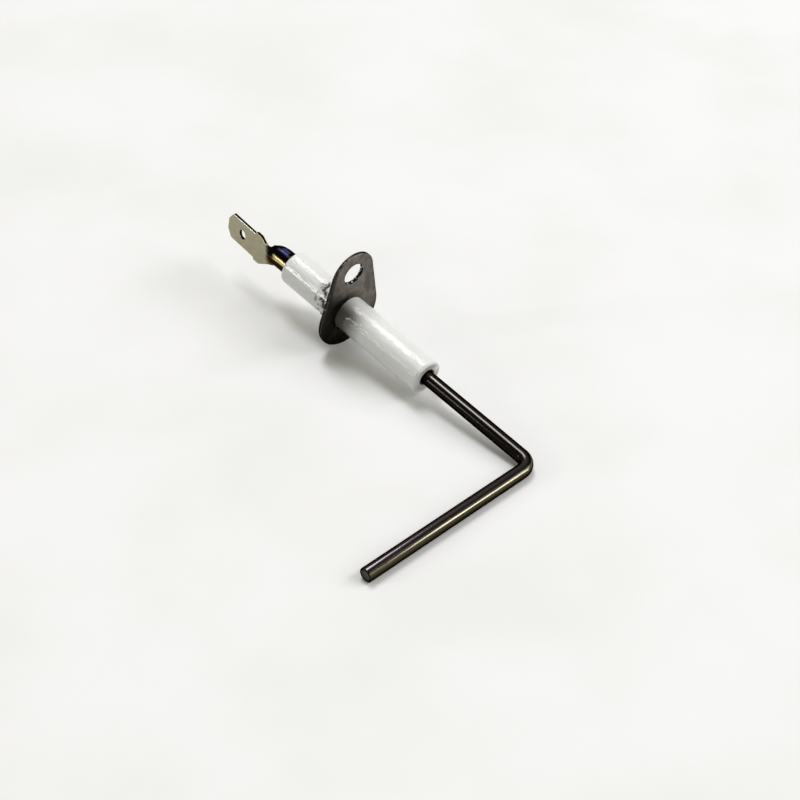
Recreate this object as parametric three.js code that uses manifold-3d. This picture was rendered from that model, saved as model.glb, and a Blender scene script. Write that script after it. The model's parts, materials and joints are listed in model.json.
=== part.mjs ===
// Ignition electrode of a gas burner, in millimetres, +Z up.
//
// The pieces are built along the ceramic's axis: +X towards the rod's bend, +Z towards the
// screw hole and the origin at the centre of the flange's front face. The finished electrode
// is then laid down the way it rests on a table, on its leg and on the flange's lower edge.

import * as THREE from 'three';
import { mergeVertices } from 'three/addons/utils/BufferGeometryUtils.js';
import Module from 'manifold-3d';

// Ceramic tube. Its ends are measured from the flange's front face.
const CERAMIC_RADIUS = 4.0;
const CERAMIC_FRONT = 24.4;
const CERAMIC_REAR = -18.2;
const CERAMIC_BORE_RADIUS = 1.95;
const CERAMIC_END_ROUND = 0.7;
const BORE_MOUTH_CHAMFER = 0.15;

// Electrode rod. The bend and the leg are measured between centre lines.
const ROD_RADIUS = 1.6;
const ROD_BEND_X = 55.3;
const ROD_BEND_RADIUS = 3.0;
const ROD_LEG = 45.9;
const ROD_REAR = CERAMIC_REAR - 4.6;

// Flange, a drop-shaped plate: a round body under a smaller round lug.
const FLANGE_THICKNESS = 0.9;
const FLANGE_RADIUS = 8.1;
const FLANGE_DROP = 0.4;
const FLANGE_BORE_RADIUS = CERAMIC_RADIUS + 0.12;
const LUG_RADIUS = 5.6;
const LUG_HEIGHT = 10.9;
const SCREW_HOLE_RADIUS = 2.5;
const SCREW_HOLE_HEIGHT = 11.3;

// Cement collar behind the flange, thick at the plate and feathered out along the tube.
const COLLAR_LENGTH = 6.6;
const COLLAR_THICK = 0.32;
const COLLAR_THIN = 0.12;

// Cement plugs round the rod, inside the ceramic.
const PLUG_LENGTH = 6.0;
const FRONT_PLUG_DEPTH = 4.0;
const REAR_PLUG_DEPTH = 0.3;
const JOINT_GAP = 0.06;

// Terminal, one stamping from sheet. Distances run back from the ceramic's rear face.
const SHEET = 0.8;
const BARREL_RADIUS = 2.5;
const BARREL_START = 0.3;
const BARREL_END = 5.9;
const BARREL_SEAM = 0.5;
const WING_CUT_HEIGHT = 0;
const WING_SLOPE = 0.95;
const ROOT_OVERLAP = 1.0;
const ROOT_HALF_WIDTH = 1.2;
const NECK_HALF_WIDTH = 2.2;
const NECK_END = 6.1;
const SHOULDER_HALF_WIDTH = 3.7;
const SHOULDER_START = 8.8;
const BLADE_START = 10.7;
const BLADE_HALF_WIDTH = 3.15;
const BLADE_TIP = 20.4;
const TIP_CHAMFER = [1.3, 1.8];
const LATCH_HOLE_AT = 15.2;
const LATCH_HOLE_RADIUS = 1.15;
const BLADE_PIVOT = 6.5;
const BLADE_OFFSET = 2.7;
const BLADE_SIDE_SHIFT = 0.3;
const BLADE_LEAN = THREE.MathUtils.degToRad(4.5);
const BLADE_SWING = THREE.MathUtils.degToRad(2);
const TERMINAL_ROLL = THREE.MathUtils.degToRad(5);

// Facets round a full turn, and along the rod's bend.
const ROUND = 64;
const ROD_ROUND = 32;
const BEND_STEPS = 10;

const STEEL_DARK = new THREE.MeshStandardMaterial({ color: 0x5c5650, roughness: 0.5, metalness: 0.9 });
const ROD_ALLOY = new THREE.MeshStandardMaterial({ color: 0x3d3630, roughness: 0.35, metalness: 1.0 });
const GLAZED_CERAMIC = new THREE.MeshStandardMaterial({ color: 0xf0f0ec, roughness: 0.15, metalness: 0.0 });
const CEMENT = new THREE.MeshStandardMaterial({ color: 0xa3a29c, roughness: 0.9, metalness: 0.0 });
const NICKEL_PLATE = new THREE.MeshStandardMaterial({ color: 0x9f9a84, roughness: 0.4, metalness: 0.95 });

const wasm = await Module();
wasm.setup();

// A closed geometry as a solid that can be joined and cut.
function solid(geometry) {
  const plain = geometry.clone();
  plain.deleteAttribute('normal');
  plain.deleteAttribute('uv');
  const merged = mergeVertices(plain, 1e-5);
  return new wasm.Manifold(new wasm.Mesh({
    numProp: 3,
    vertProperties: new Float32Array(merged.attributes.position.array),
    triVerts: new Uint32Array(merged.index.array),
  }));
}

// A solid back as a geometry.
function geometryOf(shape) {
  const mesh = shape.getMesh();
  const geometry = new THREE.BufferGeometry();
  geometry.setAttribute('position', new THREE.BufferAttribute(new Float32Array(mesh.vertProperties), 3));
  geometry.setIndex(new THREE.BufferAttribute(new Uint32Array(mesh.triVerts), 1));
  geometry.computeVertexNormals();
  return geometry;
}

function piece(name, geometry, material) {
  const mesh = new THREE.Mesh(geometry, material);
  mesh.name = name;
  return mesh;
}

// A ring turned about X. The profile is a list of [x, radius], and closes on itself.
function turned(profile) {
  const points = profile.map(([x, radius]) => new THREE.Vector2(radius, x));
  points.push(points[0].clone());
  return new THREE.LatheGeometry(points, ROUND).rotateZ(-Math.PI / 2);
}

// The points of a quarter round between two directions, in an [x, radius] profile.
function quarterRound(x, radius, size, from) {
  return [0, 1, 2, 3, 4].map((i) => {
    const angle = from - (i / 4) * (Math.PI / 2);
    return [x + size * Math.cos(angle), radius + size * Math.sin(angle)];
  });
}

// The tube, from the bore's rear mouth over the rounded outside to its front mouth.
function ceramicInsulator() {
  const outer = CERAMIC_RADIUS - CERAMIC_END_ROUND;
  const rearRound = quarterRound(CERAMIC_REAR + CERAMIC_END_ROUND, outer, CERAMIC_END_ROUND, Math.PI);
  const frontRound = quarterRound(CERAMIC_FRONT - CERAMIC_END_ROUND, outer, CERAMIC_END_ROUND, Math.PI / 2);
  const mouth = CERAMIC_BORE_RADIUS + BORE_MOUTH_CHAMFER;
  return turned([
    [CERAMIC_REAR + BORE_MOUTH_CHAMFER, CERAMIC_BORE_RADIUS],
    [CERAMIC_REAR, mouth],
    ...rearRound,
    ...frontRound,
    [CERAMIC_FRONT, mouth],
    [CERAMIC_FRONT - BORE_MOUTH_CHAMFER, CERAMIC_BORE_RADIUS],
  ]);
}

// The rod's centre line: the straight, the square bend towards -Y, and the leg. The straight
// and the leg take one step each, and the bend takes the steps between them.
class RodLine extends THREE.Curve {
  getPoint(t, target = new THREE.Vector3()) {
    const step = t * (BEND_STEPS + 2);
    const bendStart = ROD_BEND_X - ROD_BEND_RADIUS;
    if (step <= 1) {
      return target.set(THREE.MathUtils.lerp(ROD_REAR, bendStart, step), 0, 0);
    }
    if (step >= BEND_STEPS + 1) {
      const along = step - BEND_STEPS - 1;
      return target.set(ROD_BEND_X, -THREE.MathUtils.lerp(ROD_BEND_RADIUS, ROD_LEG, along), 0);
    }
    const angle = ((step - 1) / BEND_STEPS) * (Math.PI / 2);
    const across = ROD_BEND_RADIUS * Math.sin(angle);
    const down = ROD_BEND_RADIUS * (1 - Math.cos(angle));
    return target.set(bendStart + across, -down, 0);
  }

  // The steps stay where getPoint puts them, instead of at equal lengths.
  getUtoTmapping(u) {
    return u;
  }
}

function electrodeRod() {
  const section = new THREE.Shape().absarc(0, 0, ROD_RADIUS, 0, 2 * Math.PI);
  return new THREE.ExtrudeGeometry(section, {
    steps: BEND_STEPS + 2,
    curveSegments: ROD_ROUND,
    extrudePath: new RodLine(),
  });
}

// A flat shape drawn in Y and Z, given its thickness along +X.
function plateAlongX(shape, thickness) {
  const stand = new THREE.Matrix4().makeBasis(
    new THREE.Vector3(0, 1, 0),
    new THREE.Vector3(0, 0, 1),
    new THREE.Vector3(1, 0, 0),
  );
  return new THREE.ExtrudeGeometry(shape, {
    depth: thickness,
    bevelEnabled: false,
    curveSegments: ROUND / 2,
  }).applyMatrix4(stand);
}

function circleHole(height, radius) {
  return new THREE.Path().absarc(0, height, radius, 0, 2 * Math.PI, true);
}

// Two arcs joined by their common tangents, with the bore and the screw hole.
function mountingFlange() {
  const lean = Math.acos((FLANGE_RADIUS - LUG_RADIUS) / (LUG_HEIGHT + FLANGE_DROP));
  const left = Math.PI / 2 + lean;
  const right = Math.PI / 2 - lean;
  const outline = new THREE.Shape();
  outline.absarc(0, -FLANGE_DROP, FLANGE_RADIUS, left, right + 2 * Math.PI);
  outline.absarc(0, LUG_HEIGHT, LUG_RADIUS, right, left);
  outline.holes.push(circleHole(0, FLANGE_BORE_RADIUS));
  outline.holes.push(circleHole(SCREW_HOLE_HEIGHT, SCREW_HOLE_RADIUS));
  return plateAlongX(outline, FLANGE_THICKNESS).translate(-FLANGE_THICKNESS, 0, 0);
}

function flangeCement() {
  const inner = CERAMIC_RADIUS + JOINT_GAP;
  const plate = -FLANGE_THICKNESS - JOINT_GAP;
  return turned([
    [plate, inner],
    [plate - COLLAR_LENGTH, inner],
    [plate - COLLAR_LENGTH, inner + COLLAR_THIN],
    [plate - COLLAR_LENGTH / 2, inner + (COLLAR_THIN + COLLAR_THICK) / 2],
    [plate, inner + COLLAR_THICK],
  ]);
}

// A plug that fills the bore round the rod, from x for one plug length.
function rodCement(x) {
  const inner = ROD_RADIUS + JOINT_GAP;
  const outer = CERAMIC_BORE_RADIUS - JOINT_GAP;
  return turned([
    [x + PLUG_LENGTH, inner],
    [x, inner],
    [x, outer],
    [x + PLUG_LENGTH, outer],
  ]);
}

// The barrel's section, open at the seam on the side away from the blade's face.
function barrel() {
  const inner = BARREL_RADIUS - SHEET;
  const section = new THREE.Shape();
  section.absarc(0, 0, BARREL_RADIUS, BARREL_SEAM, 2 * Math.PI - BARREL_SEAM);
  section.absarc(0, 0, inner, 2 * Math.PI - BARREL_SEAM, BARREL_SEAM, true);
  section.closePath();
  const length = BARREL_END - BARREL_START;
  return solid(plateAlongX(section, length).translate(-BARREL_END, 0, 0));
}

// What is cut off the wings above the rod's centre, so that they slope down to the neck: a
// block larger than them.
function wingCut() {
  const size = 4 * BARREL_RADIUS;
  const block = new THREE.BoxGeometry(size, size, size).translate(-size / 2, size / 2, 0);
  block.rotateZ(-WING_SLOPE).translate(-BARREL_END, WING_CUT_HEIGHT, 0);
  return solid(block);
}

// The flat part of the stamping: neck, shoulders and the tab with its latch hole. Its root
// runs a little way into the barrel's wall, so that the two join into one solid.
function blade() {
  const [chamferLong, chamferWide] = TIP_CHAMFER;
  const half = [
    [BARREL_END - ROOT_OVERLAP, ROOT_HALF_WIDTH],
    [NECK_END, NECK_HALF_WIDTH],
    [SHOULDER_START, SHOULDER_HALF_WIDTH],
    [BLADE_START, SHOULDER_HALF_WIDTH],
    [BLADE_START, BLADE_HALF_WIDTH],
    [BLADE_TIP - chamferLong, BLADE_HALF_WIDTH],
    [BLADE_TIP, BLADE_HALF_WIDTH - chamferWide],
  ];
  const outline = half.concat(half.map(([along, across]) => [along, -across]).reverse());
  const shape = new THREE.Shape(outline.map(([along, across]) => new THREE.Vector2(-along, across)));
  shape.holes.push(new THREE.Path().absarc(-LATCH_HOLE_AT, 0, LATCH_HOLE_RADIUS, 0, 2 * Math.PI, true));
  const flat = new THREE.ExtrudeGeometry(shape, { depth: SHEET, bevelEnabled: false, curveSegments: ROUND / 4 });
  // Swung a little to one side in its own plane, stood on edge with its face towards -Y, and
  // leant towards the axis at its tip.
  flat.translate(BLADE_PIVOT, 0, -SHEET).rotateZ(BLADE_SWING);
  flat.rotateX(Math.PI / 2).rotateZ(-BLADE_LEAN);
  return solid(flat.translate(-BLADE_PIVOT, -BLADE_OFFSET, -BLADE_SIDE_SHIFT));
}

function spadeTerminal() {
  const stamping = barrel().subtract(wingCut()).add(blade());
  return geometryOf(stamping).rotateX(-TERMINAL_ROLL).translate(CERAMIC_REAR, 0, 0);
}

const pieces = new THREE.Group();
pieces.add(
  piece('electrode_rod', electrodeRod(), ROD_ALLOY),
  piece('ceramic_insulator', ceramicInsulator(), GLAZED_CERAMIC),
  piece('mounting_flange', mountingFlange(), STEEL_DARK),
  piece('flange_cement', flangeCement(), CEMENT),
  piece('front_rod_cement', rodCement(CERAMIC_FRONT - FRONT_PLUG_DEPTH - PLUG_LENGTH), CEMENT),
  piece('rear_rod_cement', rodCement(CERAMIC_REAR + REAR_PLUG_DEPTH), CEMENT),
  piece('spade_terminal', spadeTerminal(), NICKEL_PLATE),
);

// Laid down: the table touches the rod from below and the lowest point of the flange's front
// edge, so the rod's side of the axis sinks by this angle.
const flangeFoot = FLANGE_RADIUS + FLANGE_DROP;
const reach = Math.hypot(ROD_BEND_X, flangeFoot);
pieces.rotation.y = Math.atan(flangeFoot / ROD_BEND_X) - Math.asin(ROD_RADIUS / reach);

const group = new THREE.Group();
group.add(pieces);
const box = new THREE.Box3().setFromObject(group, true);
const middle = box.getCenter(new THREE.Vector3());
pieces.position.set(-middle.x, -middle.y, -box.min.z);

export default group;
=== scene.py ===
import json
import math

import bmesh
import bpy
from mathutils import Matrix, Vector, noise


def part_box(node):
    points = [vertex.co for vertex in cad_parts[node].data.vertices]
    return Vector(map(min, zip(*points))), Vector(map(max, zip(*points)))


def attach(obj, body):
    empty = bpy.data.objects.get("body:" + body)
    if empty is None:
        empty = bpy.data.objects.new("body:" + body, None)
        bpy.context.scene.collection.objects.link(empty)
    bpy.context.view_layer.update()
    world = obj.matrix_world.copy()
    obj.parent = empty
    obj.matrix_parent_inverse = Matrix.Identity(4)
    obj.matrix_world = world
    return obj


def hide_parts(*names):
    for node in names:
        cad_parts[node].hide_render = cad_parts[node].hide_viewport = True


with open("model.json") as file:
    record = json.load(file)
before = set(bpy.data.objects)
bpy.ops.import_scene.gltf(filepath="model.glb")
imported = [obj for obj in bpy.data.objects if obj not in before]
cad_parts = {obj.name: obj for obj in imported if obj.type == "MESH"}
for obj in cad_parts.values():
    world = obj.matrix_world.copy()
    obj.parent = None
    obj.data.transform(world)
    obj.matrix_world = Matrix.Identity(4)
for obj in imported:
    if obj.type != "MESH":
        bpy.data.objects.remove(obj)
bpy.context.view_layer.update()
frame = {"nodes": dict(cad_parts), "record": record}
scene = bpy.context.scene

# ---------------------------------------------------------------------------------------------
# Camera. It looks down on the electrode from the side of the bend, through a long lens, and is
# turned a little about its own line of sight. Degrees and metres.
VIEW_AZIMUTH, VIEW_ELEVATION, VIEW_ROLL = 45.45, 41.08, 1.6
VIEW_DISTANCE = 0.4015
VIEW_TARGET = Vector((0.0122, 0.0141, 0.0))
LENS_MM = 85.5


def toward(azimuth, elevation):
    """The direction out to something at this azimuth, where 0 lies along -Y and 90 along +X."""
    azimuth, elevation = math.radians(azimuth), math.radians(elevation)
    return Vector((
        math.sin(azimuth) * math.cos(elevation),
        -math.cos(azimuth) * math.cos(elevation),
        math.sin(elevation),
    ))


def facing(place, target):
    """The matrix of a camera or lamp that stands at a place and looks at a target."""
    turn = (target - place).to_track_quat("-Z", "Y").to_matrix().to_4x4()
    return Matrix.Translation(place) @ turn


camera = bpy.data.objects.new("camera", bpy.data.cameras.new("camera"))
scene.collection.objects.link(camera)
camera.data.lens = LENS_MM
camera.data.sensor_width = 36.0
camera.data.clip_start = 0.01
camera_place = VIEW_TARGET + toward(VIEW_AZIMUTH, VIEW_ELEVATION) * VIEW_DISTANCE
camera_turn = Matrix.Rotation(math.radians(VIEW_ROLL), 4, "Z")
camera.matrix_world = facing(camera_place, VIEW_TARGET) @ camera_turn
scene.camera = camera

# ---------------------------------------------------------------------------------------------
# Studio. Four soft boxes stand two metres off in a grey room, round a pale table. Each is as
# wide as the highlight that it draws along the rod, the glaze or the tab.
LAMP_DISTANCE = 2.0
ROOM_GREY = (0.365, 0.363, 0.295)
LAMP_WHITE = (0.955, 0.950, 1.0)
# Name, direction, width and height in metres, watts and the lamp's turn about its own axis.
LAMPS = (
    ("overhead box", Vector((-0.345, 0.14, 0.93)), 0.56, 0.92, 19.4, 0.0),
    ("back box", Vector((0.48, 0.53, 0.70)), 0.60, 1.60, 17.8, 45.0),
    ("low back strip", Vector((0.735, 0.527, 0.425)), 0.40, 1.10, 5.6, 45.0),
    ("front strip", Vector((-0.48, -0.79, 0.375)), 0.15, 0.52, 5.4, 0.0),
)
for lamp_name, direction, width, height, watts, turn in LAMPS:
    lamp = bpy.data.lights.new(lamp_name, "AREA")
    lamp.shape = "RECTANGLE"
    lamp.size, lamp.size_y = width, height
    lamp.energy = watts
    lamp.color = LAMP_WHITE
    lamp_object = bpy.data.objects.new(lamp_name, lamp)
    scene.collection.objects.link(lamp_object)
    lamp_place = VIEW_TARGET + direction.normalized() * LAMP_DISTANCE
    lamp_turn = Matrix.Rotation(math.radians(turn), 4, "Z")
    lamp_object.matrix_world = facing(lamp_place, VIEW_TARGET) @ lamp_turn

room = bpy.data.worlds.new("room")
room.use_nodes = True
room.node_tree.nodes["Background"].inputs["Color"].default_value = (*ROOM_GREY, 1.0)
room.node_tree.nodes["Background"].inputs["Strength"].default_value = 1.0
scene.world = room
scene.view_settings.view_transform = "Standard"


# ---------------------------------------------------------------------------------------------
# Finishes. A finish is one material: a shader and what its surface detail is worked out from.
class Value:
    """What comes out of a node. Arithmetic on it adds Math nodes."""

    def __init__(self, finish, socket):
        self.finish, self.socket = finish, socket

    def math(self, operation, *others):
        inputs = dict(enumerate((self, *others)))
        return self.finish.node("Math", {"operation": operation}, inputs)

    def reflected(self, operation, other):
        return self.finish.node("Math", {"operation": operation}, {0: other, 1: self})

    def __add__(self, other):
        return self.math("ADD", other)

    def __sub__(self, other):
        return self.math("SUBTRACT", other)

    def __rsub__(self, other):
        return self.reflected("SUBTRACT", other)

    def __mul__(self, other):
        return self.math("MULTIPLY", other)

    def __truediv__(self, other):
        return self.math("DIVIDE", other)

    __radd__ = __add__
    __rmul__ = __mul__

    def between(self, low, high):
        """0 below low, 1 above high and a smooth step from one to the other."""
        inputs = {"Value": self, "From Min": low, "From Max": high}
        return self.finish.node("MapRange", {"interpolation_type": "SMOOTHSTEP"}, inputs)


class Finish:
    """A material under construction. Its shader's constants are set here, straight on its sockets."""

    def __init__(self, name, **constants):
        self.material = bpy.data.materials.new(name)
        self.material.use_nodes = True
        self.tree = self.material.node_tree
        self.shader = self.tree.nodes["Principled BSDF"]
        for socket, value in constants.items():
            self.shader.inputs[socket.replace("_", " ")].default_value = value

    def node(self, kind, settings, inputs, output=0):
        """Adds a node: its type, its settings, then the values or links of its sockets."""
        node = self.tree.nodes.new("ShaderNode" + kind)
        for name, value in settings.items():
            if name == "stops":
                self.set_stops(node.color_ramp, value)
            else:
                setattr(node, name, value)
        for name, value in inputs.items():
            self.feed(node.inputs[name], value)
        return Value(self, node.outputs[output])

    def set_stops(self, ramp, stops):
        while len(ramp.elements) < len(stops):
            ramp.elements.new(1.0)
        for element, (place, colour) in zip(ramp.elements, stops):
            element.position = place
            element.color = (*colour, 1.0)

    def feed(self, socket, value):
        if isinstance(value, Value):
            self.tree.links.new(value.socket, socket)
        elif isinstance(value, tuple) and len(value) == 3 and socket.type == "RGBA":
            socket.default_value = (*value, 1.0)
        else:
            socket.default_value = value

    def surface(self, **links):
        for socket, value in links.items():
            self.feed(self.shader.inputs[socket.replace("_", " ")], value)

    def colour_mix(self, factor, first, second):
        inputs = {0: factor, 6: first, 7: second}
        return self.node("Mix", {"data_type": "RGBA"}, inputs, output=2)

    def vector(self, x, y, z):
        return self.node("CombineXYZ", {}, {0: x, 1: y, 2: z})

    def noise(self, place, scale, detail=3.0, roughness=0.5):
        inputs = {"Vector": place, "Scale": scale, "Detail": detail, "Roughness": roughness}
        return self.node("TexNoise", {}, inputs)

    def bumps(self, height, distance):
        """A surface whose height is given in units of distance, in metres."""
        return self.node("Bump", {}, {"Height": height, "Distance": distance})

    def own_place(self):
        """Along the ceramic, across it and up to the screw hole, in millimetres from the seat."""
        place = self.node("TexCoord", {}, {}, output="Object")
        shifted = self.node("VectorMath", {"operation": "SUBTRACT"}, {0: place, 1: SEAT})
        return [self.measured(shifted, direction) for direction in (AXIS, ACROSS, UPWARD)]

    def spots(self, place, spots):
        """1 at the middle of each (middle, radius) spot, falling to 0 at its rim."""
        total = 0.0
        for middle, radius in spots:
            inputs = {0: place, 1: middle}
            away = self.node("VectorMath", {"operation": "DISTANCE"}, inputs, output="Value")
            total = away.between(radius, 0.0) + total
        return total

    def measured(self, place, direction):
        inputs = {0: place, 1: direction / MM}
        return self.node("VectorMath", {"operation": "DOT_PRODUCT"}, inputs, output="Value")


# ---------------------------------------------------------------------------------------------
# Table. A pale matt board, faintly clouded, that the electrode lies on.
TABLE_SIZE = 6.0
TABLE_COLOUR = (0.815, 0.815, 0.82)
TABLE_CLOUDS = (0.765, 0.765, 0.76)
# The gap under the electrode, so that the two never share a surface.
TABLE_GAP = 0.00002


def mesh_object(name, bm, material):
    mesh = bpy.data.meshes.new(name)
    bm.to_mesh(mesh)
    bm.free()
    mesh.materials.append(material)
    made = bpy.data.objects.new(name, mesh)
    scene.collection.objects.link(made)
    return made


table_finish = Finish("pale_table", Roughness=0.85)
table_clouds = table_finish.noise(table_finish.node("TexCoord", {}, {}, output="Object"), 22.0)
table_finish.surface(
    Base_Color=table_finish.colour_mix(table_clouds.between(0.35, 0.75), TABLE_COLOUR, TABLE_CLOUDS)
)
table_bm = bmesh.new()
bmesh.ops.create_grid(table_bm, x_segments=2, y_segments=2, size=TABLE_SIZE / 2)
table = mesh_object("table", table_bm, table_finish.material)
table.location.z = -TABLE_GAP

# ---------------------------------------------------------------------------------------------
# How the electrode lies. Its pieces are made in millimetres along the ceramic's axis: +X towards
# the bend, +Z towards the screw hole, from the centre of the flange's front face. That face's
# mount gives the direction and the ceramic's middle gives the line.
MM = 0.001
seat_mount = next(m for m in frame["record"]["mounts"] if m["name"] == "flange_seat")
ceramic_low, ceramic_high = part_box("ceramic_insulator")
ceramic_middle = (ceramic_low + ceramic_high) / 2
AXIS = Vector(seat_mount["axis"]).normalized()
ACROSS = Vector((0.0, 1.0, 0.0))
UPWARD = AXIS.cross(ACROSS)
SEAT = ceramic_middle + AXIS * (Vector(seat_mount["pos_m"]) - ceramic_middle).dot(AXIS)
own_axes = Matrix((AXIS, ACROSS, UPWARD)).transposed().to_4x4()
LAID = Matrix.Translation(SEAT) @ own_axes @ Matrix.Scale(MM, 4)
TO_OWN = LAID.inverted()


def extent(node):
    """The lowest and highest corner of a CAD node in the electrode's own frame, in millimetres."""
    points = [TO_OWN @ v.co for v in frame["nodes"][node].data.vertices]
    low = Vector([min(p[i] for p in points) for i in range(3)])
    high = Vector([max(p[i] for p in points) for i in range(3)])
    return low, high


def piece(name, bm, finish, node, sharp_angle=35.0):
    """Lays a finished shape down, gives it its finish and puts it in the CAD node's stead."""
    bmesh.ops.transform(bm, matrix=LAID, verts=bm.verts)
    for face in bm.faces:
        face.smooth = True
    made = mesh_object(name, bm, finish.material)
    made.data.set_sharp_from_angle(angle=math.radians(sharp_angle))
    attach(made, "root")
    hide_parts(node)
    return made


# ---------------------------------------------------------------------------------------------
# Ceramic insulator. A straight tube of white alumina, pressed and fired, then dipped in a clear
# glaze that runs a little along the tube. Its cut ends are bare and slightly rough.
tube_low, tube_high = extent("ceramic_insulator")
TUBE_REAR, TUBE_FRONT = tube_low.x, tube_high.x
TUBE_RADIUS = tube_high.y
TUBE_BORE = 1.95
END_ROUND = 0.6
MOUTH_ROUND = 0.2
TURNED_SEGMENTS = 96
TUBE_RINGS = 90
# The glaze's waves: how deep in millimetres, and how many to a millimetre along and round the tube.
GLAZE_WAVE = 0.025
WAVES_ALONG, WAVES_ROUND = 0.22, 0.4
# The direction (across, up) that the stripes, the painted shade and the painted highlights on the round
# pieces are counted from.
BACK_AND_UP = (0.786, 0.618)
# Where soot lies thickest: places on the tube and radii, in millimetres.
SOOT_SPOTS = (
    ((-7.0, -1.7, 3.6), 1.1), ((-7.9, -1.8, 3.55), 0.7), ((-5.8, -2.0, 3.5), 1.0),
    ((-6.7, -0.4, 4.0), 0.7), ((-6.9, -3.75, 1.3), 1.0), ((-4.8, -3.5, 1.9), 0.9),
    ((-4.0, -3.85, 1.1), 0.8), ((-6.0, 2.6, -3.0), 1.0), ((-5.2, 3.7, 1.5), 0.9),
)


def spun(bm, radius_profile):
    """Turns a closed profile of (x, radius) points round the X axis into a skin."""
    points = [bm.verts.new((x, radius, 0.0)) for x, radius in radius_profile]
    edges = [bm.edges.new(pair) for pair in zip(points, points[1:] + points[:1])]
    bmesh.ops.spin(
        bm, geom=points + edges, cent=(0, 0, 0), axis=(1, 0, 0), angle=math.tau,
        steps=TURNED_SEGMENTS, use_merge=True, use_duplicate=False,
    )
    bmesh.ops.remove_doubles(bm, verts=bm.verts, dist=1e-5)
    bmesh.ops.recalc_face_normals(bm, faces=bm.faces)


def round_edges(bm, edges, size, segments=4):
    bmesh.ops.bevel(
        bm, geom=edges, offset=size, offset_type="OFFSET", segments=segments,
        profile=0.5, affect="EDGES", material=-1, clamp_overlap=True,
    )


def rim(bm, x, radius, slack=0.02):
    """The edges of the circle at x with this radius, about the X axis."""
    def on(vert):
        return abs(vert.co.x - x) < slack and abs(math.hypot(vert.co.y, vert.co.z) - radius) < slack
    return [edge for edge in bm.edges if all(on(vert) for vert in edge.verts)]


tube = bmesh.new()
spun(tube, (
    (TUBE_REAR, TUBE_BORE), (TUBE_REAR, TUBE_RADIUS),
    (TUBE_FRONT, TUBE_RADIUS), (TUBE_FRONT, TUBE_BORE),
))
for end in (TUBE_REAR, TUBE_FRONT):
    round_edges(tube, rim(tube, end, TUBE_RADIUS), END_ROUND, segments=8)
    round_edges(tube, rim(tube, end, TUBE_BORE), MOUTH_ROUND, segments=3)
outer_edges = [
    e for e in tube.edges
    if abs(e.verts[0].co.x - e.verts[1].co.x) > 1.0
    and math.hypot(e.verts[0].co.y, e.verts[0].co.z) > TUBE_BORE + 0.5
]
bmesh.ops.subdivide_edges(tube, edges=outer_edges, cuts=TUBE_RINGS)
for vert in tube.verts:
    radius = math.hypot(vert.co.y, vert.co.z)
    if radius > TUBE_RADIUS - 0.05:
        wave = noise.noise(vert.co * Vector((WAVES_ALONG, WAVES_ROUND, WAVES_ROUND)))
        shrink = 1.0 - GLAZE_WAVE * (0.5 + 0.5 * wave) / radius
        vert.co.y *= shrink
        vert.co.z *= shrink

glaze = Finish("white_glazed_alumina", Roughness=0.12, IOR=1.5)
along, across, up = glaze.own_place()
place = glaze.vector(along, across, up)
runs = glaze.noise(glaze.vector(along * 0.25, across, up), 0.75, detail=4.0)
orange_peel = glaze.noise(glaze.vector(along * 0.7, across, up), 1.9, detail=3.0)
specks = glaze.noise(place, 5.5, detail=1.0)
clouds = glaze.noise(glaze.vector(along * 0.4, across, up), 0.45, detail=3.0)
radial = (across * across + up * up).math("SQRT")
bare_end = radial.between(TUBE_RADIUS - 0.5, TUBE_RADIUS - 0.9)
# Burnt cement and soot stuck to the glaze just behind the flange, thickest in a few places.
soot_field = glaze.noise(place, 1.5, detail=6.0, roughness=0.75)
thickest = glaze.spots(place, SOOT_SPOTS)
behind = along.between(-8.6, -5.6) * along.between(-0.4, -1.0)
soot = (soot_field + behind * 0.06 + thickest * 0.20 - 0.12).between(0.53, 0.57) * behind
# Painted shadow: the glaze just in front of the flange is painted dark olive on the side away from the
# screw hole, for the flange's shadow and its dark reflection.
flange_shadow_side = (across * -0.8 + up * -0.6).between(-3.4, 0.8)
painted_flange_shadow = along.between(8.2, 2.8) * along.between(-0.5, -0.3) * flange_shadow_side * 0.91
white = glaze.colour_mix(clouds.between(0.4, 0.7), (0.745, 0.745, 0.735), (0.71, 0.715, 0.71))
aged = glaze.colour_mix(bare_end * clouds.between(0.25, 0.50), white, (0.38, 0.345, 0.30))
# Painted shade: the tube's lower front side, turned away from the lamps, is painted a little greyer.
front_side = (across * BACK_AND_UP[0] + up * BACK_AND_UP[1]) * -1.0
painted_front_shade = glaze.colour_mix(front_side.between(-0.5, 0.9) * 0.75, aged, (0.535, 0.535, 0.525))
pitted = glaze.colour_mix(specks.between(0.74, 0.80) * 0.5, painted_front_shade, (0.45, 0.44, 0.42))
flange_shadowed = glaze.colour_mix(painted_flange_shadow, pitted, (0.058, 0.058, 0.040))
stained = glaze.colour_mix(soot * 0.95, flange_shadowed, (0.018, 0.017, 0.016))
# The glaze lies smoothest on the front of the rear half, and ripples finely elsewhere.
smoother = front_side.between(0.0, 0.9) * along.between(0.5, -0.5)
relief = runs * 0.35 + orange_peel * (0.65 - smoother * 0.33) + soot * 0.8
glaze.surface(
    Base_Color=stained,
    Roughness=soot * 0.5 + bare_end * 0.35 + orange_peel * 0.05 + 0.05,
    Normal=glaze.bumps(relief, 0.00020),
)
piece("glazed_ceramic_tube", tube, glaze, "ceramic_insulator")

# ---------------------------------------------------------------------------------------------
# Electrode rod. One length of heat-resisting alloy wire, drawn, cut square, bent once round a
# small former and oxidised nearly black. It runs from the crimp through the ceramic to its tip.
rod_low, rod_high = extent("electrode_rod")
ROD_RADIUS = rod_high.z
ROD_REAR = rod_low.x
BEND_X = rod_high.x - ROD_RADIUS
LEG_TIP = rod_low.y
BEND_RADIUS = 3.0
ROD_SEGMENTS = 64
BEND_STEPS = 24
TIP_CHAMFER = 0.22
# Where the stripes past the bend are counted from, on the straight wire.
INNER_AND_UP = (-0.88, 0.47)

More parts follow.
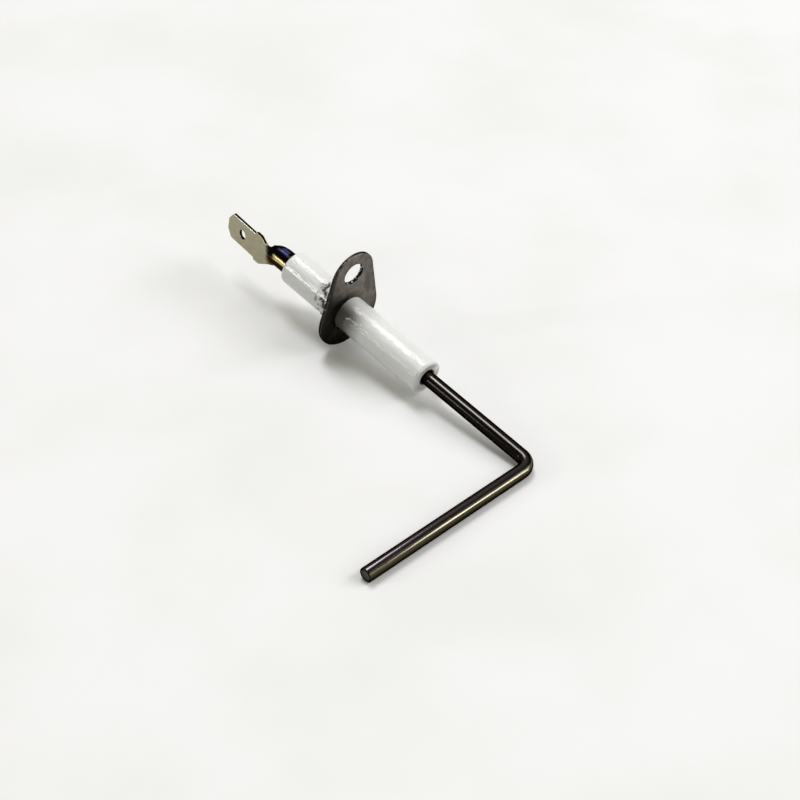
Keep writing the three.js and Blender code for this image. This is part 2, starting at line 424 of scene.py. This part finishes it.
rod = bmesh.new()
drawn = rod.verts.layers.float_vector.new("drawn")
wire_end = bmesh.ops.create_circle(
    rod, cap_ends=True, segments=ROD_SEGMENTS, radius=ROD_RADIUS,
    matrix=Matrix.Translation((ROD_REAR, 0, 0)) @ Matrix.Rotation(math.pi / 2, 4, "Y"),
)["verts"]
for vert in wire_end:
    vert[drawn] = vert.co
wire_rim = list(rod.edges)


def pull(edges, length, **move):
    """Draws the wire on by one ring. Each point keeps its place on the straight wire."""
    made = bmesh.ops.extrude_edge_only(rod, edges=edges)["geom"]
    ring = [g for g in made if isinstance(g, bmesh.types.BMVert)]
    for vert in ring:
        vert[drawn] = vert[drawn] + Vector((length, 0, 0))
    if "vec" in move:
        bmesh.ops.translate(rod, verts=ring, vec=move["vec"])
    else:
        bmesh.ops.rotate(rod, verts=ring, cent=move["cent"], matrix=move["matrix"])
    on_ring = set(ring)
    return [g for g in made if isinstance(g, bmesh.types.BMEdge) and set(g.verts) <= on_ring]


bend_start = BEND_X - BEND_RADIUS
wire_rim = pull(wire_rim, bend_start - ROD_REAR, vec=(bend_start - ROD_REAR, 0, 0))
step_angle = math.pi / 2 / BEND_STEPS
for _ in range(BEND_STEPS):
    wire_rim = pull(
        wire_rim, BEND_RADIUS * step_angle,
        cent=(bend_start, -BEND_RADIUS, 0), matrix=Matrix.Rotation(-step_angle, 3, "Z"),
    )
leg_left = -BEND_RADIUS - LEG_TIP
wire_rim = pull(wire_rim, leg_left, vec=(0, -leg_left, 0))
bmesh.ops.contextual_create(rod, geom=wire_rim)
bmesh.ops.recalc_face_normals(rod, faces=rod.faces)
end_rims = [e for e in rod.edges if any(len(f.verts) > 4 for f in e.link_faces)]
round_edges(rod, end_rims, TIP_CHAMFER, segments=3)


def round_from(direction, across, up, radius):
    """On a round bar: 0 on the line that faces this direction and 1 on the line opposite."""
    return 0.5 - (across * direction[0] + up * direction[1]) / (2 * radius)


oxide = Finish("oxidised_drawn_alloy", Metallic=1.0, Specular_Tint=(0.35, 0.33, 0.30, 1.0))
straight = oxide.node("Attribute", {"attribute_name": "drawn"}, {}, output="Vector")
length, side, top = (oxide.node("SeparateXYZ", {}, {0: straight}, output=i) for i in range(3))
lines = oxide.noise(oxide.vector(length * 0.03, side * 7.0, top * 7.0), 1.0, detail=3.0, roughness=0.6)
scuffs = oxide.noise(oxide.vector(length * 0.5, side * 1.5, top * 1.5), 1.2, detail=4.0, roughness=0.6)
patches = oxide.noise(oxide.vector(length * 0.25, side * 0.6, top * 0.6), 0.6, detail=2.0)
past_bend = length.between(bend_start - 1.0, bend_start + 5.0)
# The heat colours run in stripes along the wire: black as far as the bend, then purple on the side that
# faced the burner and bronze below it. Each ramp also paints light: its lighter bands, the straw stripe
# on the crest past the bend and the grey band before it, are painted highlights laid where the lamps'
# reflections fall, and its near-black bands are painted shade that keeps other reflections dark.
before_stripe = round_from(BACK_AND_UP, side, top, ROD_RADIUS)
after_stripe = round_from(INNER_AND_UP, side, top, ROD_RADIUS)
wander = patches * 0.08 - 0.04
black = oxide.node("ValToRGB", {"stops": (
    (0.08, (0.020, 0.017, 0.016)),
    (0.22, (0.060, 0.054, 0.052)),
    (0.36, (0.060, 0.054, 0.052)),
    (0.44, (0.013, 0.011, 0.010)),
    (0.62, (0.009, 0.008, 0.007)),
    (0.78, (0.008, 0.007, 0.006)),
)}, {0: before_stripe + wander})
coloured_with_painted_highlight = oxide.node("ValToRGB", {"stops": (
    (0.08, (0.030, 0.024, 0.026)),
    (0.20, (0.110, 0.092, 0.100)),
    (0.34, (0.060, 0.048, 0.052)),
    (0.43, (0.012, 0.009, 0.010)),
    (0.535, (0.014, 0.011, 0.010)),
    (0.575, (0.320, 0.305, 0.215)),
    (0.66, (0.350, 0.330, 0.230)),
    (0.71, (0.105, 0.088, 0.050)),
    (0.82, (0.036, 0.028, 0.017)),
    (0.94, (0.018, 0.014, 0.008)),
)}, {0: after_stripe + wander})
rod_tints_and_painted_highlights = oxide.colour_mix(past_bend, black, coloured_with_painted_highlight)
worn = oxide.colour_mix(scuffs.between(0.60, 0.74) * 0.3, rod_tints_and_painted_highlights, (0.16, 0.14, 0.11))
# The leg's cut end is bare grey in the middle, with a black rim.
wire_length = bend_start + BEND_RADIUS * math.pi / 2 + leg_left
along, across, up = oxide.own_place()
from_middle = ((along - BEND_X) * (along - BEND_X) + up * up).math("SQRT")
cut_end = length.between(wire_length - 0.12, wire_length - 0.04)
cut_colour = oxide.colour_mix(
    from_middle.between(ROD_RADIUS - 0.25, ROD_RADIUS - 0.65),
    (0.012, 0.011, 0.010), (0.095, 0.092, 0.085),
)
drawn_colour = oxide.colour_mix(lines.between(0.50, 0.68) * 0.6, worn, (0.012, 0.010, 0.010))
oxide.surface(
    Base_Color=oxide.colour_mix(cut_end, drawn_colour, cut_colour),
    Roughness=scuffs * 0.10 + lines * 0.06 + 0.08,
    Normal=oxide.bumps(lines * 0.7 + scuffs * 0.3, 0.000012),
)
piece("bent_electrode_rod", rod, oxide, "electrode_rod")

# ---------------------------------------------------------------------------------------------
# Mounting flange. A drop-shaped plate punched from steel sheet, with a bore for the ceramic and
# one screw hole in its lug. Heat has tarnished it brown, and cement holds it to the ceramic.
plate_low, plate_high = extent("mounting_flange")
PLATE_BACK = plate_low.x
PLATE_THICK = plate_high.x - plate_low.x
BODY_RADIUS = plate_high.y
BODY_DROP = plate_low.z + BODY_RADIUS
LUG_RADIUS = 5.6
LUG_CENTRE = plate_high.z - LUG_RADIUS
SCREW_RADIUS, SCREW_CENTRE = 2.5, 11.3
COLLAR_BORE = TUBE_RADIUS + 0.12
PLATE_EDGE = 0.2
# Lighter spots on the front face: places and radii, in millimetres.
LIGHTER_SPOTS = (((0.0, -3.9, -3.9), 1.6), ((0.0, -5.2, -4.6), 1.2), ((0.0, 4.2, -4.2), 1.3))
ARC_STEPS = 64

plate = bmesh.new()


def swept_arc(start, centre, angle):
    """An arc of edges in the plate's plane. Returns its first and last point."""
    first = plate.verts.new(start)
    swept = bmesh.ops.spin(
        plate, geom=[first], cent=centre, axis=(1, 0, 0), angle=angle, steps=ARC_STEPS,
        use_duplicate=False,
    )
    return first, next(g for g in swept["geom_last"] if isinstance(g, bmesh.types.BMVert))


def on_circle(centre, radius, angle):
    return Vector((PLATE_BACK, radius * math.cos(angle), centre + radius * math.sin(angle)))


tangent = math.acos((BODY_RADIUS - LUG_RADIUS) / (LUG_CENTRE - BODY_DROP))
upper_angle = math.pi / 2 - tangent
lug_first, lug_last = swept_arc(
    on_circle(LUG_CENTRE, LUG_RADIUS, upper_angle), (PLATE_BACK, 0, LUG_CENTRE), 2 * tangent,
)
body_first, body_last = swept_arc(
    on_circle(BODY_DROP, BODY_RADIUS, math.pi - upper_angle), (PLATE_BACK, 0, BODY_DROP),
    math.tau - 2 * tangent,
)
plate.edges.new((lug_last, body_first))
plate.edges.new((body_last, lug_first))
for centre, radius in ((0.0, COLLAR_BORE), (SCREW_CENTRE, SCREW_RADIUS)):
    bmesh.ops.create_circle(
        plate, segments=ARC_STEPS, radius=radius,
        matrix=Matrix.Translation((PLATE_BACK, 0, centre)) @ Matrix.Rotation(math.pi / 2, 4, "Y"),
    )
bmesh.ops.triangle_fill(plate, use_beauty=True, edges=plate.edges)
sheet_faces = list(plate.faces)
raised = bmesh.ops.extrude_face_region(plate, geom=sheet_faces, use_keep_orig=True)["geom"]
bmesh.ops.translate(
    plate, vec=(PLATE_THICK, 0, 0), verts=[g for g in raised if isinstance(g, bmesh.types.BMVert)],
)
bmesh.ops.recalc_face_normals(plate, faces=plate.faces)
plate_rims = [e for e in plate.edges if len(e.link_faces) == 2 and e.calc_face_angle() > 1.0]
round_edges(plate, plate_rims, PLATE_EDGE, segments=3)

tarnish = Finish("tarnished_flange_steel", Metallic=1.0, Specular_Tint=(0.15, 0.145, 0.14, 1.0))
along, across, up = tarnish.own_place()
place = tarnish.vector(along, across, up)
mottle = tarnish.noise(place, 0.55, detail=5.0, roughness=0.6)
grain = tarnish.noise(place, 3.5, detail=4.0, roughness=0.65)
rolled = tarnish.noise(tarnish.vector(along, across * 5.0, up * 0.5), 1.2, detail=3.0)
from_axis = (across * across + up * up).math("SQRT")
above_screw = up - SCREW_CENTRE
from_screw = (across * across + above_screw * above_screw).math("SQRT")
# Painted shade: the plate is painted darker towards the bottom, in mottled patches, and darkest at its
# lower left and left of the ceramic, where it lies in the ceramic's shade.
painted_low_shade = (mottle * 2.4 - up * 0.42).between(0.2, 3.6)
painted_lower_left_shade = (across * -1.0 - up * 0.45 + mottle * 2.0 - 1.0).between(0.3, 5.0)
# Painted shade darkens the rim on the left still more.
rim_angle = math.pi - upper_angle
left_rim = across * math.cos(rim_angle) + (up - LUG_CENTRE) * math.sin(rim_angle)
painted_left_rim_shade = left_rim.between(LUG_RADIUS - 0.75, LUG_RADIUS - 0.25) * 0.75
painted_shade_by_ceramic = (from_axis + mottle * 3.0 - 1.5).between(7.6, 4.8)
painted_shade_by_ceramic = painted_shade_by_ceramic * (across * -1.0 + 0.5).between(-1.5, 2.5)
painted_shade_strongest = (painted_shade_by_ceramic * 0.7 + painted_lower_left_shade * 0.9 + painted_left_rim_shade).math("MINIMUM", 0.84)
# Painted shade and highlights: the punched wall of the screw hole is painted black as shade, with
# painted bright glints.
punched_wall = from_screw.between(SCREW_RADIUS + 0.18, SCREW_RADIUS + 0.06)
# The rim's wall, between the plate's two faces, is near-black with a few light specks.
rim_depth = along.between(-0.10, -0.22) * along.between(PLATE_BACK + 0.01, PLATE_BACK + 0.06)
cut_rim = rim_depth * (1.0 - punched_wall)
specks_and_glints = tarnish.noise(place, 1.6, detail=1.0)
brown = tarnish.colour_mix(mottle.between(0.35, 0.68), (0.150, 0.141, 0.126), (0.250, 0.230, 0.202))
shaded_low_brown = tarnish.colour_mix(painted_low_shade * 0.80, brown, (0.026, 0.024, 0.022))
shaded_darkest = tarnish.colour_mix(painted_shade_strongest, shaded_low_brown, (0.022, 0.020, 0.017))
rust = tarnish.noise(place, 2.2, detail=5.0, roughness=0.7)
rusty = tarnish.colour_mix(rust.between(0.56, 0.66) * 0.5, shaded_darkest, (0.125, 0.098, 0.078))
lighter_spots_mask = tarnish.spots(place, LIGHTER_SPOTS) * rust.between(0.40, 0.60) * 0.7
lightened = tarnish.colour_mix(lighter_spots_mask, rusty, (0.10, 0.088, 0.075))
pitted_steel = tarnish.colour_mix(grain.between(0.55, 0.72) * 0.6, lightened, (0.026, 0.023, 0.021))
rubbed = tarnish.colour_mix(rolled.between(0.60, 0.74) * 0.22, pitted_steel, (0.26, 0.24, 0.21))
rim_colour = tarnish.colour_mix(specks_and_glints.between(0.56, 0.64), (0.022, 0.020, 0.018), (0.20, 0.19, 0.17))
near_black_rim_wall = tarnish.colour_mix(cut_rim * 0.9, rubbed, rim_colour)
painted_hole_shade_and_glints = tarnish.colour_mix(specks_and_glints.between(0.54, 0.60), (0.012, 0.011, 0.010), (0.75, 0.74, 0.72))
tarnish.surface(
    Base_Color=tarnish.colour_mix(punched_wall, near_black_rim_wall, painted_hole_shade_and_glints),
    Roughness=mottle * 0.22 + grain * 0.12 + punched_wall * -0.15 + 0.24,
    Normal=tarnish.bumps(mottle * 0.5 + grain * (0.4 + punched_wall * 4.0) + rolled * 0.1, 0.00006),
)
piece("stamped_flange", plate, tarnish, "mounting_flange")

# ---------------------------------------------------------------------------------------------
# Flange cement. Grey refractory cement daubed behind the plate, where it grips the ceramic. It
# is thick in the corner, breaks into crumbs along the tube, and is burnt black in places.
CEMENT_REACH = 6.6
CEMENT_THICK = 0.30
CEMENT_RINGS = 60
CEMENT_ROOT = 0.35
# Its height in the corner, what it loses by its far end and how much the lumps add, all as
# shares of its thickness. Then the lumps to a millimetre and how the fractal roughens them.
CORNER_HEIGHT, HEIGHT_LOST, LUMP_HEIGHT = 0.55, 0.95, 1.1
LUMPS_PER_MM = 0.9
LUMP_FRACTAL = (0.8, 2.2, 5)

collar = bmesh.new()
collar_back = PLATE_BACK - 0.02
outer = [
    (collar_back - CEMENT_REACH * ring / CEMENT_RINGS, TUBE_RADIUS + 0.01)
    for ring in range(CEMENT_RINGS + 1)
]
root = TUBE_RADIUS - CEMENT_ROOT
spun(collar, outer + [(collar_back - CEMENT_REACH, root), (collar_back, root)])
for vert in collar.verts:
    radius = math.hypot(vert.co.y, vert.co.z)
    if radius > TUBE_RADIUS - 0.1:
        reach = (collar_back - vert.co.x) / CEMENT_REACH
        lumps = noise.fractal(vert.co * LUMPS_PER_MM, *LUMP_FRACTAL)
        height = CEMENT_THICK * (CORNER_HEIGHT - HEIGHT_LOST * reach + LUMP_HEIGHT * lumps)
        grown = TUBE_RADIUS + max(-0.2, min(CEMENT_THICK, height))
        vert.co.y *= grown / radius
        vert.co.z *= grown / radius

cement = Finish("burnt_grey_cement", Roughness=0.9)
along, across, up = cement.own_place()
place = cement.vector(along, across, up)
crumbs = cement.noise(place, 1.6, detail=6.0, roughness=0.7)
burnt = cement.noise(place, 0.8, detail=5.0, roughness=0.65)
burnt_through = (burnt + cement.spots(place, SOOT_SPOTS) * 0.3).between(0.50, 0.60)
cement_tone = cement.colour_mix(crumbs.between(0.35, 0.65), (0.30, 0.30, 0.29), (0.62, 0.62, 0.60))
cement.surface(
    Base_Color=cement.colour_mix(burnt_through, cement_tone, (0.05, 0.048, 0.046)),
    Roughness=burnt * 0.25 + 0.65,
    Normal=cement.bumps(crumbs, 0.00025),
)
piece("flange_cement_daub", collar, cement, "flange_cement", sharp_angle=60.0)

# ---------------------------------------------------------------------------------------------
# Rod cement. Two plugs of the same cement hold the rod in the ceramic's bore. The rear one shows
# as a ring at the mouth, and the front one sits a little way in.
for name in ("front_rod_cement", "rear_rod_cement"):
    node = frame["nodes"][name]
    node.data.materials.clear()
    node.data.materials.append(cement.material)

# ---------------------------------------------------------------------------------------------
# Spade terminal. One stamping in nickel-plated sheet: a push-on tab with a latch hole, a neck,
# and two wings rolled round the rod's end and welded, which tinted them blue, violet and straw.
# The tint stripes on the wings also carry painted highlights and painted shade.
SHEET = 0.8
BARREL_RADIUS = 2.5
BARREL_DROP = 0.15
WRAP_RADIUS = BARREL_RADIUS - SHEET / 2
ROLLED_TO, FLAT_FROM = 4.7, 6.8
# The tab is set from its pivot on: how far its face lies from the axis, how far it is shifted
# down, and how it leans towards the axis and swings in its own plane.
BLADE_PIVOT = 6.5
BLADE_FACE = 2.7
BLADE_SIDE_SHIFT = 0.3
BLADE_LEAN = math.radians(4.5)
BLADE_SWING = math.radians(2.0)
BLADE_TURN = Matrix.Rotation(-BLADE_LEAN, 3, "Z") @ Matrix.Rotation(-BLADE_SWING, 3, "Y")
BLADE_SHIFT = Vector((0.0, 0.0, -BLADE_SIDE_SHIFT))
# Distances back from the ceramic between which the neck takes up that lean and swing.
TURN_FROM, TURNED_BY = 5.4, 7.1
TERMINAL_ROLL = Matrix.Rotation(math.radians(-5.0), 3, "X")
STAMPED_EDGE = 0.17
LATCH_HOLE_AT, LATCH_HOLE_RADIUS = 15.2, 1.15
# Half the blank's width at distances back from the ceramic's rear face.
BLANK = (
    (0.3, 5.45), (1.4, 5.5), (2.4, 5.2), (3.4, 4.65), (4.4, 4.05), (5.2, 3.5), (5.6, 3.05),
    (5.8, 2.5), (6.0, 2.25), (6.5, 2.35), (8.6, 3.62), (8.9, 3.7), (10.55, 3.7), (10.7, 3.15),
    (19.1, 3.15), (20.4, 1.35),
)
BLANK_ACROSS = 36
FINE_STEP = 0.28


def smooth(value):
    value = min(1.0, max(0.0, value))
    return value * value * (3 - 2 * value)


stations = []
for (near, near_half), (far, far_half) in zip(BLANK, BLANK[1:]):
    cuts = max(1, round((far - near) / FINE_STEP))
    stations += [
        (near + (far - near) * cut / cuts, near_half + (far_half - near_half) * cut / cuts)
        for cut in range(cuts)
    ]
stations.append(BLANK[-1])

blank = bmesh.new()
bmesh.ops.create_grid(blank, x_segments=len(stations) - 1, y_segments=BLANK_ACROSS, size=0.5)
for vert in blank.verts:
    back, half = stations[round((vert.co.x + 0.5) * (len(stations) - 1))]
    vert.co = Vector((back, vert.co.y * 2 * half, 0.0))


def from_latch_hole(point):
    return Vector((point.x - LATCH_HOLE_AT, point.y, 0.0))


punched = [f for f in blank.faces if from_latch_hole(f.calc_center_median()).length < LATCH_HOLE_RADIUS]
bmesh.ops.delete(blank, geom=punched, context="FACES")
for vert in blank.verts:
    outward = from_latch_hole(vert.co)
    if vert.is_boundary and outward.length < LATCH_HOLE_RADIUS + 0.5:
        vert.co = vert.co + outward.normalized() * (LATCH_HOLE_RADIUS - outward.length)


def rolled_up(point):
    """Where a point of the flat blank goes when its wings are rolled and its tab is set."""
    back, reach = point.x, point.y
    roll = 1.0 - smooth((back - ROLLED_TO) / (FLAT_FROM - ROLLED_TO))
    floor = -(WRAP_RADIUS + BARREL_DROP) * roll - (BLADE_FACE - SHEET / 2) * (1.0 - roll)
    curve = roll / WRAP_RADIUS
    if curve > 1e-4:
        rise, reach = (1.0 - math.cos(reach * curve)) / curve, math.sin(reach * curve) / curve
    else:
        rise = 0.0
    set_point = Vector((-back, floor + rise, reach))
    # The tab is swung in its own plane and leant towards the axis, from the neck on.
    pivot = Vector((-BLADE_PIVOT, floor, 0.0))
    turned = BLADE_TURN @ (set_point - pivot) + pivot + BLADE_SHIFT
    share = smooth((back - TURN_FROM) / (TURNED_BY - TURN_FROM))
    return set_point.lerp(turned, share)


for vert in blank.verts:
    vert.co = rolled_up(vert.co)
bmesh.ops.rotate(blank, cent=(0, 0, 0), matrix=TERMINAL_ROLL, verts=blank.verts)
bmesh.ops.translate(blank, vec=(TUBE_REAR, 0, 0), verts=blank.verts)
bmesh.ops.recalc_face_normals(blank, faces=blank.faces)

nickel = Finish("heat_tinted_nickel", Metallic=1.0, Specular_Tint=(0.30, 0.30, 0.28, 1.0))
along, across, up = nickel.own_place()
back = along * -1.0 + TUBE_REAR
plating = nickel.noise(nickel.vector(along, across, up), 0.5, detail=4.0, roughness=0.55)
dust = nickel.noise(nickel.vector(along, across, up), 3.5, detail=3.0)
khaki = nickel.colour_mix(
    plating.between(0.35, 0.68), (0.370, 0.345, 0.235), (0.425, 0.390, 0.290),
)
dulled = nickel.colour_mix(dust.between(0.60, 0.72) * 0.5, khaki, (0.20, 0.18, 0.13))
tint_edge = back + plating * 1.6 + up * -0.25
heat = 1.0 - tint_edge.between(6.3, 7.6)
# On the tab: the height up its width and the depth through its sheet, from the middle of both.
tab_middle = TERMINAL_ROLL @ (Vector((-BLADE_PIVOT, SHEET / 2 - BLADE_FACE, 0.0)) + BLADE_SHIFT)
tab_middle += Vector((TUBE_REAR, 0.0, 0.0))
tab_up, tab_out = (TERMINAL_ROLL @ BLADE_TURN @ Vector(v) for v in ((0, 0, 1), (0, -1, 0)))
rise = across * tab_up.y + up * tab_up.z + along * tab_up.x - tab_up.dot(tab_middle)
depth = across * tab_out.y + up * tab_out.z + along * tab_out.x - tab_out.dot(tab_middle)
# Painted shade and highlight: the stamped walls of the tab are painted black, and a painted highlight
# runs along the front of its top edge.
on_tab = back.between(7.0, 7.4)
in_wall = depth.math("ABSOLUTE").between(SHEET / 2 - 0.05, SHEET / 2 - STAMPED_EDGE)
wall = in_wall * on_tab
top_edge = rise.between(2.4, 2.8) * back.between(10.4, 10.8)
painted_edge_highlight = depth.between(0.18, 0.26) * depth.between(0.397, 0.385) * top_edge
shaded_tab_walls = nickel.colour_mix(wall, dulled, (0.004, 0.004, 0.003))
tab_colour = nickel.colour_mix(painted_edge_highlight, shaded_tab_walls, (0.92, 0.92, 0.88))
# The heat tints run in stripes along the barrel, from its upper wing down to its folded floor. The blue
# and straw stripes are painted highlights laid where the lamps' reflections fall, and the black between
# and round them is painted shade that keeps other reflections dark.
stripe = round_from(BACK_AND_UP, across, up, BARREL_RADIUS) + plating * 0.10 - 0.12
tint_and_highlight_stripes = nickel.node("ValToRGB", {"stops": (
    (0.00, (0.012, 0.012, 0.018)),
    (0.03, (0.030, 0.030, 0.060)),
    (0.08, (0.135, 0.142, 0.300)),
    (0.15, (0.034, 0.038, 0.120)),
    (0.24, (0.010, 0.009, 0.026)),
    (0.32, (0.002, 0.002, 0.003)),
    (0.48, (0.004, 0.002, 0.003)),
    (0.57, (0.060, 0.035, 0.015)),
    (0.63, (0.600, 0.480, 0.180)),
    (0.72, (0.650, 0.560, 0.290)),
    (0.77, (0.022, 0.010, 0.007)),
    (0.86, (0.045, 0.024, 0.013)),
    (0.95, (0.120, 0.092, 0.036)),
)}, {0: stripe})
# The painted highlights show only on short stretches of the barrel; everywhere else it is painted
# black.
highlight_stretch = back.between(1.4, 2.2) * back.between(4.4, 3.4)
near_ceramic = stripe.between(0.54, 0.56) * back.between(5.0, 3.4)
painted_blue_highlight = highlight_stretch * stripe.between(0.36, 0.34)
painted_highlights_shown = (painted_blue_highlight + near_ceramic + stripe.between(0.74, 0.78)).math("MINIMUM", 1.0)
barrel_tints_and_painted_highlights = nickel.colour_mix(painted_highlights_shown, (0.006, 0.005, 0.006), tint_and_highlight_stripes)
nickel.surface(
    Base_Color=nickel.colour_mix(heat, tab_colour, barrel_tints_and_painted_highlights),
    Roughness=plating * 0.2 + dust * 0.08 + heat * -0.1 + 0.22,
    Normal=nickel.bumps(plating * 0.6 + dust * 0.4, 0.00004),
)
terminal = piece("push_on_terminal", blank, nickel, "spade_terminal")
thickness = terminal.modifiers.new("sheet", "SOLIDIFY")
thickness.thickness = SHEET * MM
thickness.offset = 0.0
thickness.use_even_offset = True
edges = terminal.modifiers.new("stamped edges", "BEVEL")
edges.width = STAMPED_EDGE * MM
edges.segments = 3
edges.limit_method = "ANGLE"
edges.angle_limit = math.radians(40.0)
